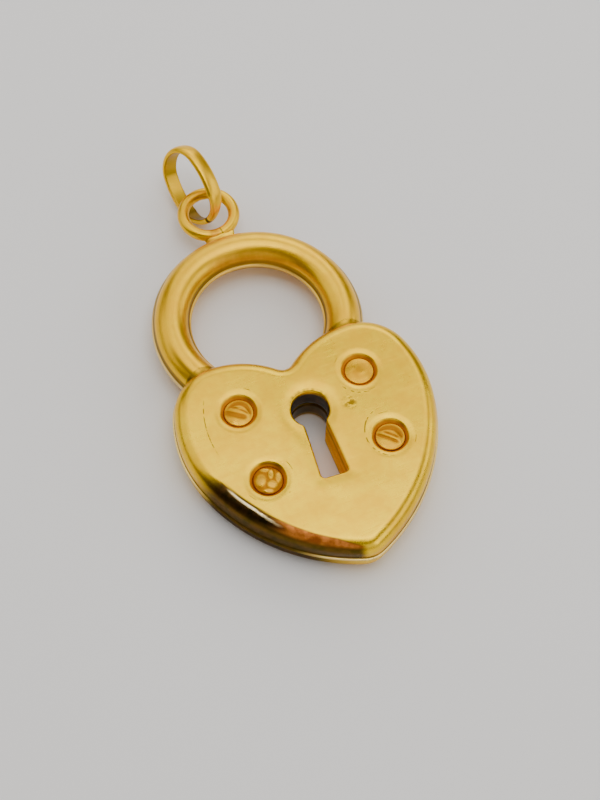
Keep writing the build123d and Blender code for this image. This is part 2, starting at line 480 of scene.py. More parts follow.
def quarter(steps):
    """Sine and one minus cosine of angles from flat to upright, for a rounded edge."""
    angle = np.linspace(0, math.pi / 2, steps + 1)[1:]
    return np.sin(angle), 1 - np.cos(angle)


def profile(*runs):
    """Joins runs of a section into one table. A run gives share, out, inset, datum and lift, each a
    number that holds for the whole run or an array."""
    return np.concatenate([np.array(np.broadcast_arrays(*run)) for run in runs], axis=1)


ON_SEAM, ON_FACE, INSIDE = 0, 1, 2
fold_inset = seam_lip + edge_radius
lip_steps = 8
cup_places = {
    name: (node_box(name)[0][:2] + node_box(name)[1][:2]) / 2
    for name in ("screw_top_left", "screw_top_right", "screw_low_left", "screw_low_right")
}


def shell_rows(face_steps, edge_steps, wall_steps, inner_steps):
    """The section of one stamped shell, from the foot of its turned-in keyhole wall over the lip and
    face, round the edge to the seam lip, and back inside the sheet to where it began."""
    rise, sink = quarter(edge_steps)
    lip_rise, lip_sink = quarter(lip_steps)
    small_rise, small_sink = quarter(4)
    inner_rise, inner_sink = quarter(6)
    share = np.linspace(0, 1, face_steps + 1)[1:]
    share = share * (0.75 + 0.25 * share)
    inner_share = np.linspace(1, 0, inner_steps + 1)
    half_lip = seam_thickness / 2
    edge = edge_radius - sheet
    wall_lifts = np.linspace(-turned_in_depth + 0.03, -keyhole_lip, wall_steps)
    seam_lifts = np.linspace(0.45, half_lip + seam_fillet, 4)
    parting_lifts = np.array([1.5, 0.6, 0.1]) * seam_parting
    parting_insets = np.array([0, 0.3, 2]) * seam_parting
    inner_insets = seam_lip + sheet + edge * (1 - inner_rise[::-1])
    back_lifts = [-0.6, -0.9, -turned_in_depth + 0.04]
    back_outs = [turned_in_wall - 0.04, 0.04]
    return profile(
        (0, 0, 0, ON_FACE, wall_lifts),
        (0, keyhole_lip * lip_sink, 0, ON_FACE, keyhole_lip * (lip_rise - 1)),
        (share, keyhole_lip, fold_inset, ON_FACE, 0),
        (1, 0, fold_inset - edge_radius * rise, ON_FACE, -edge_radius * sink),
        (1, 0, seam_lip, ON_SEAM, seam_lifts),
        (1, 0, seam_lip - seam_fillet * small_sink, ON_SEAM, half_lip + seam_fillet * (1 - small_rise)),
        (1, 0, seam_round * (1 - small_rise), ON_SEAM, half_lip - seam_round * small_sink),
        (1, 0, parting_insets, ON_SEAM, parting_lifts),
        (1, 0, seam_lip + sheet, ON_SEAM, [0.1 * seam_parting, 0.3]),
        (1, 0, inner_insets, INSIDE, -sheet - edge * inner_sink[::-1]),
        (inner_share, turned_in_wall, fold_inset, INSIDE, -sheet),
        (0, turned_in_wall, 0, ON_FACE, back_lifts),
        (0, back_outs, 0, ON_FACE, -turned_in_depth),
    )


def shell_points(rows, outlines, levels):
    """Every row of a section laid round the heart. A point stands at its share of the way from the
    keyhole's edge, moved out by out, to the heart's edge, moved in by inset, and its height is the
    lift above the seam, the face's own level or the level that the inside follows."""
    outer, outer_normal, inner, inner_normal = outlines
    share, out, inset, datum, lift = rows[:, :, None, None]
    near = inner + inner_normal * out
    far = outer - outer_normal * inset
    plan = near * (1 - share) + far * share
    x, y = plan[..., 0], plan[..., 1]
    heights = [np.full_like(x, seam_z)] + [level(x, y) for level in levels]
    height = np.choose(datum[..., 0].astype(int), heights) + lift[..., 0]
    return triples(x, y, height)


def cup_profile():
    """Radius and depth from the face over a cup's dish, which sinks by the square of the way in, round
    its lip, an arc that turns from level to the wall's slope, down the wall to beside the head, then
    straight down and over a quarter circle to the floor."""
    across = np.linspace(0, 1, 9)
    bend = np.linspace(0, cup_wall_slope, 7)[1:]
    foot_rise, foot_sink = quarter(4)
    foot = 0.05
    depth = shell_height + face_dome - cup_floor_rise
    dish_radius = cup_radius + cup_lip + cup_dish * (1 - across)
    dish_depth = cup_dish_drop * across**2
    lip_radius = cup_radius + cup_lip * (1 - np.sin(bend))
    lip_depth = cup_dish_drop + cup_lip * (1 - np.cos(bend))
    wall_radius = np.linspace(lip_radius[-1], cup_foot_radius, 6)[1:]
    wall_depth = lip_depth[-1] + (lip_radius[-1] - wall_radius) * math.tan(cup_wall_slope)
    foot_radius = np.append(cup_foot_radius, cup_foot_radius - foot * foot_sink)
    foot_depth = depth - foot * np.append(1, 1 - foot_rise)
    floor = np.array([0.8, 0.7, 0.5, 0.25])
    radius = np.concatenate([dish_radius, lip_radius, wall_radius, foot_radius, floor])
    sunk = np.concatenate(
        [dish_depth, lip_depth, wall_depth, foot_depth, np.full(len(floor), depth)]
    )
    return radius, sunk


def open_cups(grid, faces, level, first_row, last_row):
    """Cuts a block of the face out round each screw and fills it with rings that pass from the
    block's edge to a circle, then follow the cup's section down to a point in its middle."""
    columns = grid.shape[1]
    keep = np.ones(faces.shape[:2], dtype=bool)
    points = [grid.reshape(-1, 3)]
    patches = []
    count = len(points[0])
    radius, sunk = cup_profile()
    blend_steps = 5
    inner_skirt = 0.985
    for centre in cup_places.values():
        off = away(grid[..., 0], grid[..., 1], centre)
        near = off[first_row:last_row] < cup_skirt
        rows = np.flatnonzero(near.any(axis=1)) + first_row
        cols = np.flatnonzero(near.any(axis=0))
        low_row, high_row = rows.min() - 1, rows.max() + 1
        low_col, high_col = cols.min() - 1, cols.max() + 1
        keep[low_row:high_row, low_col:high_col] = False
        row_walk = np.arange(low_row, high_row)
        col_walk = np.arange(low_col, high_col)
        rim_rows = np.concatenate([
            row_walk, np.full(len(col_walk), high_row),
            row_walk[::-1] + 1, np.full(len(col_walk), low_row),
        ])
        rim_cols = np.concatenate([
            np.full(len(row_walk), low_col), col_walk,
            np.full(len(row_walk), high_col), col_walk[::-1] + 1,
        ])
        rim = grid[rim_rows, rim_cols, :2]
        size = len(rim)
        angle = np.unwrap(np.arctan2(rim[:, 1] - centre[1], rim[:, 0] - centre[0]))
        even = angle.mean() + math.tau * (np.arange(size) - (size - 1) / 2) / size
        share = (np.arange(blend_steps) / blend_steps)[1:, None, None]
        blended = rim * (1 - share) + (centre + cup_skirt * inner_skirt * turned(angle)) * share
        settle = np.linspace(0, 1, len(radius))[:, None]
        ring_angle = angle * (1 - settle) + even * settle
        rings = centre + radius[:, None, None] * turned(ring_angle)
        plan = np.concatenate([blended, rings])
        depth = np.concatenate([np.zeros(len(blended)), sunk])[:, None]
        height = level(plan[..., 0], plan[..., 1]) - depth
        patch = placed(plan, height)
        middle = np.array([[centre[0], centre[1], height[-1].mean()]])
        points += [patch.reshape(-1, 3), middle]
        index = count + np.arange(patch.shape[0] * size).reshape(-1, size)
        ladder = np.vstack([(rim_rows * columns + rim_cols)[None], index])
        following = np.roll(ladder, -1, axis=1)
        quads = np.stack([ladder[:-1], following[:-1], following[1:], ladder[1:]], axis=-1)
        patches.append(quads.reshape(-1, 4))
        patches.append(cap(ladder[-1], count + patch.shape[0] * size))
        count += patch.shape[0] * size + 1
    return np.concatenate(points), [faces[keep]] + patches


def front_inside(x, y):
    """Level of the sheet's inside: it keeps clear below each cup by a smooth hump."""
    level = front_level(x, y)
    for centre in cup_places.values():
        level = level - cup_hump * fade(away(x, y, centre), hump_reach, hump_reach - 0.7)
    return level


def inset(x, y):
    """Distance in plan from the heart's outline, negative outside it: the least of the distances to
    points along it, with the sign of the side of the outline that the nearest one says."""
    edge, normal = (part.astype(np.float32) for part in fan(case_columns)[:2])
    from_x = np.subtract.outer(x.astype(np.float32), edge[:, 0])
    from_y = np.subtract.outer(y.astype(np.float32), edge[:, 1])
    nearest = (from_x**2 + from_y**2).argmin(axis=1)
    offset = np.stack([x, y], axis=-1) - edge[nearest]
    side = np.sign((offset * normal[nearest]).sum(axis=1))
    return -side * np.hypot(*offset.T)


def inside_sheet(drop, gap, depth_in):
    """Full on the inside of a shell: deeper than the sheet, clear of the keyhole and of the seam."""
    return fade(drop, 0.28, 0.33) * fade(gap, 0.1, 0.3) * fade(depth_in, 0.25, 0.5)


def case_wear_and_shade(points):
    """Wear and painted light of the case. The first of the three wear values is a deeper colour that
    fills the cups and the keyhole as painted shade; the second is dark colour: painted shade in the
    creases at the seam, by the shackle, inside the case, round the top of the low left cup and in the
    keyhole, a dark line along the right wall, a broken dark arc over the keyhole's round, and a painted
    dark reflection over the rounded edge left of the tip; the third is a coppery painted reflection on
    that edge near the tip.
    Marks hold pale metal, painted as highlights on the seam lip and along a rubbed line on the darkened
    edge, and the metal that no buff reaches, on the slot's walls and the darkened lip."""
    x, y, z = points.T
    drop = front_level(x, y) - z
    above_seam = z - seam_z
    gap = keyhole_gap(x, y)
    depth_in = inset(x, y)
    angle = bearing(x, y, heart_centre)
    in_cup = np.zeros(len(points))
    for centre in cup_places.values():
        in_cup = np.maximum(in_cup, fade(away(x, y, centre), cup_radius + 0.11, cup_radius - 0.02))
    in_keyhole = fade(gap, *keyhole_edge)
    open_face = 1 - np.maximum(in_cup, in_keyhole)
    # A deeper colour painted into the cups, and a little into the keyhole, as shade
    recess_shade = fade(drop, 0.05, 0.16) * np.maximum(in_cup, 0.1 * in_keyhole)
    # How far in from the outline the painted dark reflection reaches, by bearing
    reach = np.interp(angle, [185, 202, 217, 232, 244, 258, 268], [0.5, 1.0, 1.1, 1.0, 0.9, 0.78, 0.45])
    # A dark band painted over the rounded edge left of the tip stands for a dark reflection
    along_dark_band = fade(angle, *dark_band_begins) * fade(angle, *dark_band_ends)
    painted_dark = along_dark_band * fade(depth_in, reach, reach - 0.1) * (0.98 - 0.05 * fade(depth_in, 0.5, 0.2))
    # A pale line along that edge, rubbed metal painted as a highlight streak
    rubbed_highlight = fade(angle, 205, 211) * fade(angle, 237, 230) * fade(drop, 0.6, 0.4)
    highlight_line = np.interp(angle, [209, 222, 234], [0.84, 0.8, 0.62])
    rubbed_highlight = rubbed_highlight * fade(np.abs(depth_in - highlight_line), 0.08, 0.02)
    # A coppery patch near the tip, painted as a reflection
    copper_stain_and_reflection = fade(angle, 229, 242) * fade(angle, *dark_band_ends) * fade(depth_in, reach, reach - 0.15)
    copper_stain_and_reflection = copper_stain_and_reflection * fade(depth_in, 0.22, 0.46)
    on_right = fade(np.abs(np.mod(angle + 90, 360) - 90), 95, 60)
    wall_line = 0.55 * on_right * fade(np.abs(above_seam - 0.4), 0.4, 0.1) * fade(depth_in, 0.5, 0.3)
    # Painted shade in the crease above the seam lip and where the shackle's tube meets the case
    crease = 0.85 * fade(np.abs(above_seam - 0.18), 0.14, 0.03) * fade(depth_in, 0.3, 0.2)
    tube = np.hypot(away(x, y, shackle_centre) - shackle_radius, above_seam)
    by_tube = 0.5 * fade(tube - shackle_width / 2, 0.2, 0.05) * fade(depth_in, 0.6, 0.5)
    by_tube = by_tube * fade(np.abs(x), 2.0, 3.0)
    # Painted shade inside the case
    inside = inside_sheet(drop, gap, depth_in) * open_face
    # Painted shade round the top of the low left cup
    low_left = cup_places["screw_low_left"]
    cup_shade = 0.55 * fade(np.abs(away(x, y, low_left) - cup_radius), 0.1, 0.03)
    cup_shade = cup_shade * fade((x - low_left[0]) * 0.5 + (y - low_left[1]) * 0.86, 0.7, 0.98)
    # Painted shade makes the round of the keyhole black below its lip. The slot's walls stay unshaded
    # as far as a dark line of painted shade, and a broken dark arc lies over the round.
    across, up = by_keyhole(x, y)
    unshaded = fade(up, *slot_begins)
    line = 0.8 * fade(np.abs(drop - 0.75), 0.12, 0.05) * unshaded
    keyhole_shade = np.maximum(fade(drop, 0.14, 0.34) * (1 - unshaded), line) * in_keyhole
    compass = np.arctan2(across, up)
    ragged = 0.55 + 0.25 * np.sin(17 * compass) + 0.2 * np.sin(29 * compass + 1.3)
    arc = 0.55 * ragged * fade(np.abs(gap - 0.15), 0.12, 0.04) * fade(np.abs(compass - 0.2), 1.35, 0.9)
    arc = arc * fade(up, -0.2, 0.2)
    grime_and_shade = np.max([crease, wall_line, by_tube, painted_dark, inside], axis=0) * open_face
    grime_and_shade = np.max([grime_and_shade * (1 - rubbed_highlight), cup_shade, keyhole_shade, arc * fade(drop, 0.2, 0.1)], axis=0)
    # The seam lip is kept clear of the painted shade and painted pale as a highlight, except on the
    # darkened lip by the tip
    seam_rim = fade(np.abs(above_seam), 0.14, 0.1) * fade(depth_in, 0.13, 0.09)
    darkened_lip = along_dark_band * fade(angle, *lip_dark_band_ends)
    seam_rim = seam_rim * (1 - 0.97 * darkened_lip)
    grime_and_shade = grime_and_shade * (1 - seam_rim)
    wear_and_shade = triples(recess_shade, grime_and_shade, copper_stain_and_reflection * open_face)
    unpolished = in_keyhole * unshaded * fade(drop, 0.1, 0.2)
    unpolished = np.maximum(unpolished, darkened_lip * fade(depth_in, 0.2, 0.1))
    highlights_and_marks = triples(np.maximum(rubbed_highlight, 0.45 * seam_rim), unpolished, 0.0)
    return wear_and_shade, highlights_and_marks


def case_front(material):
    """The front shell: its section laid round the heart, with the four cups let into the face."""
    wall_steps, face_steps = 8, 54
    rows = shell_rows(face_steps, 20, wall_steps, 24)
    grid = shell_points(rows, fan(case_columns), (front_level, front_inside))
    faces = grid_faces(grid.shape[0], grid.shape[1], close_rows=True)
    face_start = wall_steps + lip_steps
    points, all_faces = open_cups(grid, faces, front_level, face_start, face_start + face_steps)
    wear_and_shade, highlights_and_marks = case_wear_and_shade(points)
    make_piece("case_front", "padlock", material, points, all_faces, wear_and_shade, highlights_and_marks)


def back_level(x, y):
    """Depth of the back shell below the seam, told as a height above it: flat, with a soft dish
    round the keyhole."""
    gap = np.maximum(keyhole_gap(x, y), 0)
    dish = 0.5 * keyhole_dish * np.exp(-((gap / keyhole_dish_reach) ** 2))
    return seam_z + shell_height - dish + 0 * x


def case_back(material):
    """The back shell: the same section turned over, with a flat field."""
    rows = shell_rows(26, 12, 5, 8)
    grid = shell_points(rows, fan(case_columns), (back_level, back_level))
    grid[..., 2] = 2 * seam_z - grid[..., 2]
    faces = grid_faces(grid.shape[0], grid.shape[1], close_rows=True).reshape(-1, 4)
    points = grid.reshape(-1, 3)
    x, y, z = points.T
    drop = z - (2 * seam_z - back_level(x, y))
    gap = keyhole_gap(x, y)
    depth_in = inset(x, y)
    angle = bearing(x, y, heart_centre)
    in_keyhole = fade(gap, *keyhole_edge)
    # Painted shade inside the shell, a painted dark band on the lower left and painted shade that
    # blackens the keyhole
    inside_shade = 0.9 * inside_sheet(drop, gap, depth_in)
    painted_dark = 0.97 * fade(angle, *dark_band_begins) * fade(angle, 268, 246) * fade(depth_in, 0.7, 0.4)
    unshaded = fade(by_keyhole(x, y)[1], *slot_begins) * fade(drop, 0.2, 0.4)
    keyhole_shade = 0.95 * in_keyhole * fade(drop, 0.08, 0.2) * (1 - unshaded)
    grime_and_shade = np.max([inside_shade, painted_dark, keyhole_shade], axis=0)
    wear_and_shade = triples(0.1 * in_keyhole, grime_and_shade, 0.0)
    # The keyhole's lip is painted pale as a highlight
    lip = 0.5 * in_keyhole * fade(drop, 0.16, 0.08)
    highlights_and_marks = triples(lip, np.maximum(in_keyhole * unshaded, painted_dark), 0.0)
    make_piece("case_back", "padlock", material, points, [faces], wear_and_shade, highlights_and_marks)


# Shackle, jump ring and solder


def seamed_oval(steps):
    """A closed section: the upper half of an oval, a flat lip at the inner seam, the lower half and a
    lip at the outer seam. Columns are the way out from the tube's centre line and the way up."""
    half_width, half_height = shackle_width / 2, shackle_height / 2
    half_lip = seam_thickness / 2
    start = math.asin((half_lip + seam_fillet) / half_height)
    angle = np.linspace(start, math.pi - start, steps)
    out, up = half_width * np.cos(angle), half_height * np.sin(angle)
    rise, sink = quarter(3)
    lip_out = np.concatenate([
        half_width + seam_lip - seam_round * sink[::-1],
        [half_width + seam_lip - 0.01, half_width + seam_lip],
    ])
    lip_up = np.concatenate([half_lip - seam_round * (1 - rise[::-1]), [0.02, 0.006]])
    top_out = np.concatenate([-lip_out[::-1], out[::-1], lip_out])
    top_up = np.concatenate([lip_up[::-1], up[::-1], lip_up])
    return np.concatenate([top_out, top_out[::-1]]), np.concatenate([top_up, -top_up[::-1]])


def sweep_faces(rows, columns):
    """Faces of a tube with both ends closed by a middle point each, which come after its own."""
    faces = grid_faces(rows, columns).reshape(-1, 4)
    first = np.arange(columns)
    last = first[::-1] + (rows - 1) * columns
    return [faces, cap(first, rows * columns), cap(last, rows * columns + 1)]


def close_ends(grid):
    """The points of a tube's grid followed by the middle of its first and of its last ring."""
    middles = np.stack([grid[0].mean(axis=0), grid[-1].mean(axis=0)])
    return np.concatenate([grid.reshape(-1, 3), middles])


def way_round(out, up):
    """Length of a section from its first point to each of its points."""
    return np.append(0, np.cumsum(np.hypot(np.diff(out), np.diff(up))))


def track_of(along, around):
    """The way along and round at each point of a strip's grid, from those of its rows and columns."""
    return triples(*np.meshgrid(along, around, indexing="ij"), 0.0).reshape(-1, 3)


def with_ends(track):
    """A track with the values of its first and last point for the middles of the two ends."""
    return np.concatenate([track, track[:1], track[-1:]])


def shackle(material):
    """A section with seam lips carried round an arc about the shackle's centre. Painted shade lies
    where it meets the heart and in the creases beside the seam lips, a painted dark and coppery
    reflection lies on its inner side at the top, a dark line and a coppery patch lie by its foot, and
    the seam lips are painted pale as a highlight."""
    out, up = seamed_oval(tube_steps[1])
    angle = np.linspace(-shackle_entry, math.pi + shackle_entry, tube_steps[0])
    plan = shackle_centre + (shackle_radius + out)[:, None] * turned(angle)[:, None, :]
    grid = placed(plan, seam_z + up)
    points = close_ends(grid)
    track = with_ends(track_of(angle * shackle_radius, way_round(out, up)))
    x, y, z = points.T
    depth_in = inset(x, y)
    over_face = z - front_level(x, y) + 0.35 * fade(depth_in, 0.9, 0.1)
    gap = np.where(depth_in > 0, over_face, -depth_in)
    # Painted shade where the tube meets the heart
    by_heart = 0.6 * fade(gap, 0.07, 0.01)
    turn = bearing(x, y, shackle_centre)
    side = (away(x, y, shackle_centre) - shackle_radius) / (shackle_width / 2)
    above = fade(z, seam_z, seam_z + 0.1)
    # A painted dark and brown reflection on the inner side at the top
    inner_top = above * fade(turn, 28, 55) * fade(turn, 118, 95) * fade(side, -0.5, -0.64)
    inner_top = inner_top * fade(side, -1.02, -0.9)
    foot = above * fade(turn, 172, 195) * fade(turn, 232, 205)
    foot_line = foot * fade(np.abs(side - 0.42), 0.16, 0.05)
    # Painted shade in the creases beside the seam lips
    crease = 0.75 * fade(np.abs(np.abs(side) - 0.97), 0.07, 0.02)
    lip = fade(np.abs(side), 1.03, 1.06)
    grime_and_shade = np.max([by_heart, 0.25 * inner_top, 0.7 * foot_line, crease], axis=0) * (1 - lip)
    foot_blush = 0.6 * foot * fade(turn, 205, 214) * fade(np.abs(side), 0.5, 0.2)
    wear_and_shade = triples(0.0, grime_and_shade, np.maximum(0.3 * inner_top, foot_blush))
    # The seam lips are painted pale as a highlight
    highlights_and_marks = triples(lip * np.where(side > 0, 0.5, 0.2), 0.0, 0.0)
    faces = sweep_faces(*grid.shape[:2])
    make_piece("shackle", "padlock", material, points, faces, wear_and_shade, highlights_and_marks, track)


def jump_ring(material):
    """A torus lying in the plane of the seam. A thin dark line marks where its wire was closed,
    beside a coppery patch of solder."""
    around, about = (full_turn(steps) for steps in ring_steps)
    radius = ring_radius + ring_wire / 2 * np.cos(about)
    plan = ring_centre + radius[:, None] * turned(around)[:, None, :]
    points = placed(plan, seam_z + ring_wire / 2 * np.sin(about)).reshape(-1, 3)
    faces = [grid_faces(len(around), len(about), close_rows=True).reshape(-1, 4)]
    track = track_of(around * ring_radius, about * ring_wire / 2)
    x, y, z = points.T
    turn = bearing(x, y, ring_centre)
    joint = 0.7 * fade(np.abs(turn - joint_bearing), 2.5, 0.8)
    patch = 0.5 * fade(np.abs(turn - patch_bearing), 16, 6) * fade(z, seam_z, seam_z + 0.2)
    wear_and_shade = triples(0.0, joint, patch)
    make_piece("jump_ring", "padlock", material, points, faces, wear_and_shade, track=track)


def ring_solder(material):
    """A waisted pad between shackle and ring: an oval section carried outwards from a circle inside
    the shackle to the ring's centre line. Its half width is least near the middle and flares to both
    ends, and low lumps swell its skin by a product of sines."""
    share = np.linspace(0, 1, solder_steps[0])[:, None]
    about = full_turn(solder_steps[1])[None, :]
    flare = (share - 0.55) ** 2
    half_width = solder_width / 2 * (1.04 + 1.3 * flare)
    half_height = solder_height / 2 * (0.85 + 0.9 * flare)
    lump = 1 + 0.07 * np.sin(9 * share + 3 * np.cos(about)) * np.sin(4 * about + 11 * share)
    off = half_width * np.cos(about) * lump
    shackle_skin = shackle_radius + shackle_width / 2 - sheet
    start = shackle_centre[1] + np.sqrt(shackle_skin**2 - (ring_shift + off) ** 2)
    reach = np.clip(off / ring_radius, -0.9, 0.9)
    end = ring_centre[1] - ring_radius * np.sqrt(1 - reach**2)
    x = ring_shift + off
    y = start + (end - start) * share
    z = seam_z + half_height * np.sin(about) * lump
    grid = triples(x, y, z)
    points = close_ends(grid)
    wear_and_shade = np.zeros_like(points)
    wear_and_shade[:, 2] = 0.5 * fade(points[:, 0], ring_shift - 0.2, ring_shift - 0.7)
    faces = sweep_faces(*grid.shape[:2])
    make_piece("ring_solder", "padlock", material, points, faces, wear_and_shade)


# Bail


def bail(material):
    """A half-round strip carried round an oval of four arcs, narrowed towards its foot, where its two
    ends nearly meet. The section's outer side is a blunt oval crown, its inner side is flat."""
    half_length, half_width = bail_length / 2, bail_width / 2
    end_radius = (2 * bail_side_radius * half_width - half_width**2 - half_length**2) / (
        2 * (bail_side_radius - half_length)
    )
    lean = math.atan2(bail_side_radius - half_width, half_length - end_radius)
    rows = [
        (end_radius, math.pi + lean, 0),
        (bail_side_radius, 2 * math.pi - lean, 0),
        (end_radius, 2 * math.pi + lean, 0),
        (bail_side_radius, 3 * math.pi - lean, 0),
        (end_radius, 3 * math.pi, 0),
    ]
    oval = outline((-half_length, 0), math.pi, rows)
    total = oval["length"].sum()
    distance = np.linspace(end_gap / 2, total - end_gap / 2, bail_steps)
    path, normal = walk(oval, distance)
    width = np.interp(
        path[:, 0], [-half_length, strip_taper - half_length], [strip_foot_width, strip_width]
    )
    crown = np.linspace(-1, 1, 29)
    crown_depth = strip_round * (1 - (1 - np.abs(crown) ** crown_power) ** (1 / crown_power))
    flat = np.linspace(0.93, -0.93, 13)
    side = np.concatenate([crown, [1, 0.98], flat, [-0.98, -1]])
    corner = strip_thickness - np.array([0.06, 0.015])
    flat_depth = np.full(len(flat), strip_thickness)
    sink = np.concatenate([crown_depth, corner, flat_depth, corner[::-1]])
    rise, turn = bail_rise, bail_turn
    along = np.array([math.cos(rise) * math.sin(turn), math.cos(rise) * math.cos(turn), math.sin(rise)])
    level = np.cross(along, [0, 0, 1])
    level = level / np.linalg.norm(level)
    upward = np.cross(level, along)
    strip_axis = level * math.cos(bail_lean) - upward * math.sin(bail_lean)
    across = np.cross(strip_axis, along)
    reach = half_length - strip_thickness / 2 - bail_slip
    centre = np.append(ring_centre, seam_z) + along * reach
    skin = path[:, None, :] - normal[:, None, :] * sink[None, :, None]
    grid = (
        centre
        + skin[..., :1] * along
        + skin[..., 1:] * across
        + (side[None, :] * width[:, None] / 2)[..., None] * strip_axis
    )
    grid[..., 2] += node_box("bail")[0][2] - grid[..., 2].min()
    points = close_ends(grid)
    track = with_ends(track_of(distance, way_round(side * strip_width / 2, sink)))
    # Painted shade darkens the inner side, most near the foot and more towards the far end than in the
    # middle, and dark painted shade sits where the ends nearly meet
    on_inside = np.broadcast_to(sink > strip_thickness - 0.03, grid.shape[:2]).ravel()
    from_foot = half_length + np.repeat(path[:, 0], len(side))
    grime_and_shade = 0.15 + 0.35 * fade(from_foot, 3.0, 4.4)
    grime_and_shade = on_inside * np.maximum(0.8 * fade(from_foot, 1.9, 1.1), grime_and_shade)
    to_end = np.repeat(np.minimum(distance, total - distance), len(side))
    grime_and_shade = np.append(np.maximum(grime_and_shade, 0.9 * fade(to_end, 0.16, 0.08)), [0.9, 0.9])
    wear_and_shade = triples(0.0, grime_and_shade, 0.0)
    faces = sweep_faces(*grid.shape[:2])
    make_piece("bail", "bail", material, points, faces, wear_and_shade, track=track)


# Screw heads


def screw(name, carve, rubbed_highlight, material):
    """A round head on a shank: rings from the middle of its domed top out over a rounded edge, down
    its side, in under it and down the shank. carve gives the depth cut into the top at each point,
    and the next argument how pale, as a painted highlight, the places left between the cuts are."""
    centre = cup_places[name]
    seat = node_box(name)[1][2] - head_height - head_dome
    top_radius = (head_radius - head_edge) * np.linspace(0, 1, 49)[1:]
    rise, sink = quarter(6)
    top = head_height + head_dome * (1 - (top_radius / head_radius) ** 2)
    round_radius = head_radius - head_edge * (1 - rise)
    round_top = top[-1] - head_edge * sink
    radius = np.concatenate([top_radius, round_radius, [head_radius, shank_radius, shank_radius]])
    level = np.concatenate([top, round_top, [0, 0, -shank_length]])
    plan = radius[:, None, None] * turned(full_turn(head_steps))
    grid = placed(centre + plan, seat + level[:, None])
    on_top = len(top_radius) + len(rise)
    cut = carve(plan[:on_top, :, 0], plan[:on_top, :, 1])
    grid[:on_top, :, 2] -= cut
    middle_cut = carve(np.zeros(1), np.zeros(1))[0]
    middle = np.array([
        [*centre, seat + head_height + head_dome - middle_cut],
        [*centre, seat - shank_length],
    ])
    points = np.concatenate([grid.reshape(-1, 3), middle])
    wear_and_shade = np.zeros_like(points)
    # The cuts take the deeper colour as painted shade, and the places between them are painted pale as
    # a highlight by the rubbed amount
    wear_and_shade[: cut.size, 0] = fade(cut.ravel(), 0.003, 0.03)
    highlights_and_marks = np.zeros_like(points)
    highlights_and_marks[: cut.size, 0] = rubbed_highlight * fade(cut.ravel(), 0.012, 0.0)
    faces = sweep_faces(*grid.shape[:2])
    make_piece(name, name, material, points, faces, wear_and_shade, highlights_and_marks)


def on_head(x, y, turn):
    """Way along and across a turned head, which is taken as a circle of radius one."""
    along = (x * math.cos(turn) + y * math.sin(turn)) / head_radius
    return along, (-x * math.sin(turn) + y * math.cos(turn)) / head_radius


def groove(x, y, turn, rise, bow, start, end, width, depth):
    """Depth of one bowed groove on a head that is turned so that the groove runs along it. Its
    middle line is rise less bow times the square of the way along, its section is a bell curve, and
    it fades out past start and end."""
    along, across = on_head(x, y, turn)
    section = np.exp(-(((across - rise + bow * along**2) / width) ** 2))
    taper = fade(along, start - 0.2, start + 0.25) * fade(along, end + 0.2, end - 0.25)
    return depth * section * taper


def grooved(turn, table):
    """Depth cut by a table of grooves that share a turn, whichever is deepest at each point."""
    def carve(x, y):
        cuts = [groove(x, y, turn + math.radians(row[0]), *row[1:]) for row in table]
        return np.max(cuts, axis=0)
    return carve


def lumpy(turn, table, depth):
    """Depth of the ground between low lumps: nought on a lump and full between them. A lump is an
    oval bell curve of the way along and across the turned head, raised to a flat top."""
    def carve(x, y):
        along, across = on_head(x, y, turn)
        bells = [
            np.exp(-((((along - u) / a) ** 2 + ((across - v) / b) ** 2) ** 2)) for u, v, a, b in table
        ]
        return depth * (1 - np.max(bells, axis=0))
    return carve


# Grooves of three heads: turn, rise, bow, start, end, width and depth
almond_high = [
    (0, 0.68, 0.80, -0.80, 0.85, 0.19, 0.045),
    (0, 0.27, 0.10, -0.66, -0.10, 0.08, 0.045),
    (0, 0.20, 0.25, -0.10, 0.70, 0.10, 0.030),
    (0, -0.25, -0.06, -0.95, 0.60, 0.19, 0.048),
]
almond_low = [
    (0, 0.62, 0.60, -0.90, 0.80, 0.21, 0.046),
    (0, 0.13, 0.00, -0.55, 0.60, 0.09, 0.042),
    (0, -0.22, -0.03, -0.95, 0.65, 0.12, 0.048),
]
dented = [
    (0, 0.10, 0.30, -0.60, 0.65, 0.30, 0.012),
    (62, 0.34, 0.10, -0.70, 0.30, 0.26, 0.012),
    (-30, -0.48, -0.20, -0.50, 0.70, 0.24, 0.012),
]
# Lumps of the crossed head: place along and across, and half sizes
cross_lumps = [
    (-0.50, -0.06, 0.40, 0.50),
    (0.30, -0.34, 0.40, 0.31),
    (0.03, -0.80, 0.42, 0.19),
    (0.18, 0.40, 0.21, 0.40),
    (-0.26, 0.72, 0.36, 0.19),
    (0.70, 0.20, 0.24, 0.44),
]


# Finishes


def linear(code):
    """An sRGB colour such as FFD080 as linear red, green, blue and alpha."""
    parts = [int(code[i:i + 2], 16) / 255 for i in (0, 2, 4)]
    return [p / 12.92 if p <= 0.04045 else ((p + 0.055) / 1.055) ** 2.4 for p in parts] + [1.0]


def add(tree, kind, inputs=None, **settings):
    """Adds a node with its settings, gives each input a value or a link, and returns its outputs."""
    made = tree.nodes.new("ShaderNode" + kind)
    for key, value in settings.items():
        setattr(made, key, value)
    for key, value in (inputs or {}).items():
        if isinstance(value, bpy.types.NodeSocket):
            tree.links.new(value, made.inputs[key])
        else:
            made.inputs[key].default_value = value
    return made.outputs


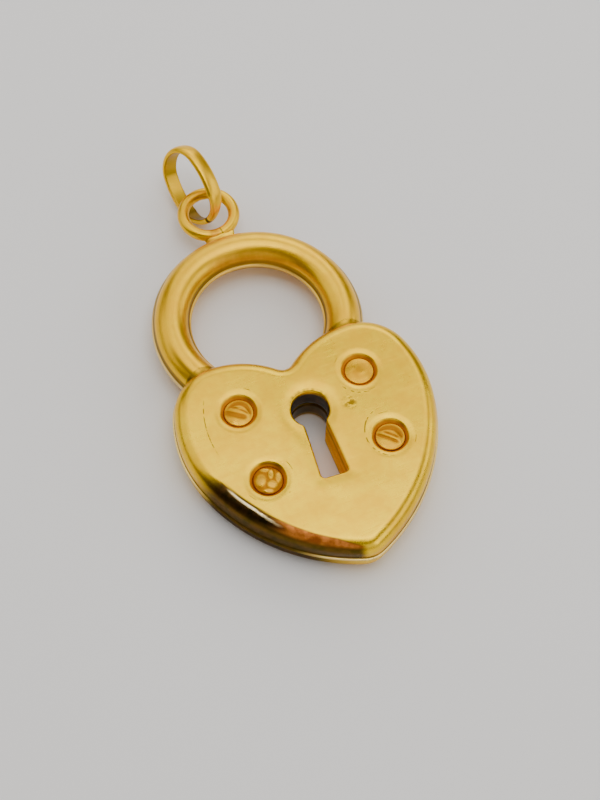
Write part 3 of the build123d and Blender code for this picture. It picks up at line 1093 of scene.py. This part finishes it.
def hairlines(tree, place, directions):
    """Sparse hairlines in several directions: noise stretched to threads 0.1 mm wide and 3 mm long,
    kept only where it is high. Real ones are ten times finer, which the render wouldn't show."""
    strongest = 0.0
    for angle in directions:
        threads = {"Vector": place, "Rotation": (0, 0, angle), "Scale": (0.3, 11, 0.3)}
        along = add(tree, "Mapping", threads)["Vector"]
        fibre = add(tree, "TexNoise", {"Vector": along, "Scale": 1.0, "Detail": 1.0})["Fac"]
        line = add(tree, "MapRange", {"Value": fibre, "From Min": 0.66, "From Max": 0.72})["Result"]
        strongest = add(tree, "Math", {0: line, 1: strongest}, operation="MAXIMUM")["Value"]
    return strongest


def old_scars(tree, place, scars):
    """Worn lines at given places. Each is the band within a width of a circle, as far as reach from
    its middle, broken up by noise 0.28 mm across. With a radius of nought it is a patch of pits."""
    chips = add(tree, "TexNoise", {"Vector": place, "Scale": 1 / 0.28, "Detail": 2.0})["Fac"]
    chips = add(tree, "MapRange", {"Value": chips, "From Min": 0.42, "From Max": 0.56})["Result"]
    strongest = 0.0
    for circle, radius, width, middle, reach in scars:
        away = add(tree, "VectorMath", {0: place, 1: circle}, operation="DISTANCE")["Value"]
        away = add(tree, "Math", {0: away, 1: radius}, operation="SUBTRACT")["Value"]
        away = add(tree, "Math", {0: away}, operation="ABSOLUTE")["Value"]
        band = {"Value": away, "From Min": width, "From Max": 0.4 * width}
        line = add(tree, "MapRange", band)["Result"]
        past = add(tree, "VectorMath", {0: place, 1: middle}, operation="DISTANCE")["Value"]
        ends = {"Value": past, "From Min": reach, "From Max": 0.6 * reach}
        length = add(tree, "MapRange", ends)["Result"]
        line = add(tree, "Math", {0: line, 1: length}, operation="MULTIPLY")["Value"]
        line = add(tree, "Math", {0: line, 1: chips}, operation="MULTIPLY")["Value"]
        strongest = add(tree, "Math", {0: line, 1: strongest}, operation="MAXIMUM")["Value"]
    return strongest


def gold(name, body, worn, recess_shade_colour, roughness, cloud_size, follows_strip=False, scars=()):
    """Polished yellow gold that has been worn. Cloudy patches of cloud_size millimetres and mottling
    of 0.5 mm change its colour and gloss, and hairlines and a grain of 0.22 mm, coarse enough to
    show, its relief. On top come a deeper colour in recesses, which is painted shade, brown grime and
    painted shade, a coppery stain and painted reflection, pale rubbed metal and painted highlights, and
    scars. Metal that no buff reaches is rougher."""
    material = bpy.data.materials.new(name)
    material.use_nodes = True
    tree = material.node_tree
    tree.nodes.clear()
    if follows_strip:
        place = add(tree, "Attribute", attribute_name="track")["Vector"]
        directions = (0.0, 0.12, -0.1)
    else:
        where = add(tree, "TexCoord")["Object"]
        place = add(tree, "Mapping", {"Vector": where, "Scale": (1 / MM,) * 3})["Vector"]
        directions = (0.35, 1.25, 2.3)
    # The attributes carry painted shade, painted reflections and painted highlights along with grime
    # and wear
    wear_and_shade = add(tree, "Attribute", attribute_name="wear_and_shade")["Vector"]
    recess_shade, grime_and_shade, copper_stain_and_reflection = add(tree, "SeparateXYZ", {"Vector": wear_and_shade})
    highlights_and_marks = add(tree, "Attribute", attribute_name="highlights_and_marks")["Vector"]
    pale, unpolished, _ = add(tree, "SeparateXYZ", {"Vector": highlights_and_marks})
    cloud = add(tree, "TexNoise", {"Vector": place, "Scale": 1 / cloud_size, "Detail": 3.0})["Fac"]
    mottle = add(tree, "TexNoise", {"Vector": place, "Scale": 1 / 0.5, "Detail": 3.0})["Fac"]
    grain = add(tree, "TexNoise", {"Vector": place, "Scale": 1 / 0.22, "Detail": 4.0})["Fac"]

    half_cloud = add(tree, "Math", {0: cloud, 1: 0.7}, operation="MULTIPLY")["Value"]
    uneven = {0: mottle, 1: 0.5, 2: half_cloud}
    uneven = add(tree, "Math", uneven, operation="MULTIPLY_ADD")["Value"]
    share = add(tree, "MapRange", {"Value": uneven, "From Min": 0.48, "From Max": 0.72})["Result"]
    spots = add(tree, "MapRange", {"Value": mottle, "From Min": 0.35, "From Max": 0.6})["Result"]
    # The dark colour of grime and painted shade
    colours = {0: spots, 6: linear("211A10"), 7: linear("4A3018")}
    painted_dark = add(tree, "Mix", colours, data_type="RGBA")[2]
    # The coppery colour of stains and painted reflections
    colours = {0: spots, 6: linear("E08A3C"), 7: linear("A05820")}
    copper = add(tree, "Mix", colours, data_type="RGBA")[2]
    colour = linear(body)
    # Layers: random tone, painted shade in recesses, grime and painted shade, coppery stain and painted
    # reflection, pale painted highlight
    for amount, layer in (
        (share, linear(worn)),
        (recess_shade, linear(recess_shade_colour)),
        (grime_and_shade, painted_dark),
        (copper_stain_and_reflection, copper),
        (pale, linear("F2E4BC")),
    ):
        colours = {0: amount, 6: colour, 7: layer}
        colour = add(tree, "Mix", colours, data_type="RGBA")[2]

    dull = {"Value": cloud, "To Min": roughness - 0.06, "To Max": roughness + 0.08}
    gloss = add(tree, "MapRange", dull)["Result"]
    for roughening, amount in ((grain, 0.06), (recess_shade, 0.2), (copper_stain_and_reflection, 0.22), (unpolished, 0.4)):
        step = {0: roughening, 1: amount, 2: gloss}
        gloss = add(tree, "Math", step, operation="MULTIPLY_ADD")["Value"]

    cuts = [(hairlines(tree, place, directions), -0.8), (mottle, 1.5)]
    if scars:
        damage = old_scars(tree, place, scars)
        share = add(tree, "Math", {0: damage, 1: 0.8}, operation="MULTIPLY")["Value"]
        colours = {0: share, 6: colour, 7: linear("6A4A10")}
        colour = add(tree, "Mix", colours, data_type="RGBA")[2]
        cuts.append((damage, -6.0))
    relief = grain
    for cutting, amount in cuts:
        step = {0: cutting, 1: amount, 2: relief}
        relief = add(tree, "Math", step, operation="MULTIPLY_ADD")["Value"]
    bumps = {"Height": relief, "Strength": 0.3, "Distance": 0.008 * MM}
    normal = add(tree, "Bump", bumps)["Normal"]
    finish = {"Base Color": colour, "Metallic": 1.0, "Roughness": gloss, "Normal": normal}
    surface = add(tree, "BsdfPrincipled", finish)["BSDF"]
    add(tree, "OutputMaterial", {"Surface": surface})
    return material


face_z = seam_z + shell_height + face_dome
# Scars of the face: the circle that a line follows, its radius and width, its middle and its reach
face_scars = [
    ((2.42, -5.92, face_z), 0.0, 0.55, (2.42, -5.92, face_z), 0.62),
    ((3.85, -4.18, face_z), 1.54, 0.07, (2.95, -5.45, face_z), 0.95),
    ((3.95, -8.55, face_z), 1.62, 0.05, (2.55, -8.4, face_z), 2.3),
    ((0.0, -5.15, face_z), 5.92, 0.04, (-5.75, -4.2, face_z), 2.0),
    ((-1.72, -11.58, face_z), 0.0, 0.12, (-1.72, -11.58, face_z), 0.16),
]
# Eighteen carat gold, stamped and buffed: a satin shine that blurs what it mirrors
case_gold = gold("stamped_gold", "FFD214", "F8C20C", "D48C10", 0.25, 2.6, scars=face_scars)
# The same gold drawn into tube and wire: the polish runs along it
drawn_gold = gold("drawn_gold", "FFCC10", "FAC00E", "D48C10", 0.29, 2.6, follows_strip=True)
# Struck screw heads: a deeper yellow, with orange painted shade in the strokes
struck_gold = gold("struck_gold", "D8A408", "CE9406", "AC6E0A", 0.24, 0.7)


# Studio


def floor():
    """A plain pale table far wider than the pendant, level with its back."""
    half = 900.0
    corners = np.array([[-1, -1, 0], [1, -1, 0], [1, 1, 0], [-1, 1, 0]]) * half * MM
    mesh = bpy.data.meshes.new("floor")
    mesh.from_pydata(corners.tolist(), [], [(0, 1, 2, 3)])
    pale = bpy.data.materials.new("pale_table")
    pale.use_nodes = True
    shader = pale.node_tree.nodes["Principled BSDF"]
    shader.inputs["Base Color"].default_value = linear("F2F1EF")
    shader.inputs["Roughness"].default_value = 0.6
    mesh.materials.append(pale)
    table = bpy.data.objects.new("floor", mesh)
    bpy.context.scene.collection.objects.link(table)


def softbox(name, direction, distance, size, brightness):
    """A flat lamp that far from the pendant in a direction, facing it. Its power is its brightness
    times pi times its area. The rounded edges mirror the lamps, and the gaps between them draw the
    dark lines of the form."""
    aim = Vector(direction).normalized()
    lamp = bpy.data.lights.new(name, "AREA")
    lamp.shape = "RECTANGLE"
    lamp.size = size[0] * MM
    lamp.size_y = size[1] * MM
    lamp.energy = brightness * math.pi * lamp.size * lamp.size_y
    box = bpy.data.objects.new(name, lamp)
    box.location = (Vector(camera_target) + aim * distance) * MM
    box.rotation_euler = aim.to_track_quat("Z", "Y").to_euler()
    bpy.context.scene.collection.objects.link(box)


def camera():
    """Looks at the target from the photograph's elevation and turn, then rolled. The sensor's width
    lies along the picture's longer side, its height."""
    level = np.array([-math.sin(camera_turn), -math.cos(camera_turn), 0])
    back = level * math.cos(camera_elevation) + np.array([0, 0, math.sin(camera_elevation)])
    right = np.cross([0, 0, 1], back)
    right = right / np.linalg.norm(right)
    up = np.cross(back, right)
    rolled_right = math.cos(camera_roll) * right + math.sin(camera_roll) * up
    rolled_up = np.cross(back, rolled_right)
    lens = bpy.data.cameras.new("photo_camera")
    lens.sensor_width = sensor
    lens.lens = focal_pixels * sensor / photo_height
    lens.clip_start = 5 * MM
    lens.clip_end = 4000 * MM
    eye = bpy.data.objects.new("photo_camera", lens)
    turn = Matrix((rolled_right, rolled_up, back)).transposed().to_4x4()
    eye.matrix_world = Matrix.Translation((camera_target + back * camera_distance) * MM) @ turn
    bpy.context.scene.collection.objects.link(eye)
    bpy.context.scene.camera = eye


case_front(case_gold)
case_back(case_gold)
shackle(drawn_gold)
jump_ring(drawn_gold)
ring_solder(case_gold)
bail(drawn_gold)
screw("screw_top_left", grooved(math.radians(-38), almond_high), 0.0, struck_gold)
screw("screw_top_right", grooved(math.radians(28), dented), 0.0, struck_gold)
screw("screw_low_left", lumpy(math.radians(-24), cross_lumps, 0.04), 0.03, struck_gold)
screw("screw_low_right", grooved(math.radians(-45), almond_low), 0.0, struck_gold)

floor()
camera()
# Lamps: direction from the pendant, distance, size and brightness
softbox("overhead_box", (0.22, 0.40, 0.89), 260, (330, 210), 0.5)
softbox("zenith_box", (0.102, 0.085, 0.991), 250, (230, 150), 1.5)
softbox("back_box", (0.27, 0.86, 0.44), 300, (300, 220), 1.25)
softbox("left_box", (-0.60, 0.46, 0.60), 300, (240, 300), 1.0)
softbox("window_box", (0.64, 0.41, 0.65), 300, (190, 140), 0.6)
softbox("shoulder_box", (0.49, 0.70, 0.52), 300, (170, 130), 0.8)
softbox("fill_box", (0.58, 0.14, 0.80), 300, (170, 150), 0.7)
softbox("right_box", (0.6, -0.65, 0.45), 320, (260, 160), 1.6)
softbox("side_box", (0.93, -0.08, 0.32), 300, (150, 130), 1.8)
softbox("front_box", (0.10, -0.27, 0.96), 280, (150, 150), 1.3)
softbox("low_front_box", (-0.08, -0.9, 0.38), 320, (420, 180), 0.7)
softbox("corner_box", (-0.62, -0.62, 0.33), 320, (150, 110), 1.0)
softbox("streak_lamp", (-0.2, -0.03, 0.98), 240, (46, 20), 9)
world = bpy.data.worlds.new("studio")
world.use_nodes = True
world.node_tree.nodes["Background"].inputs["Color"].default_value = linear("FFEADA")
world.node_tree.nodes["Background"].inputs["Strength"].default_value = 0.13
bpy.context.scene.world = world
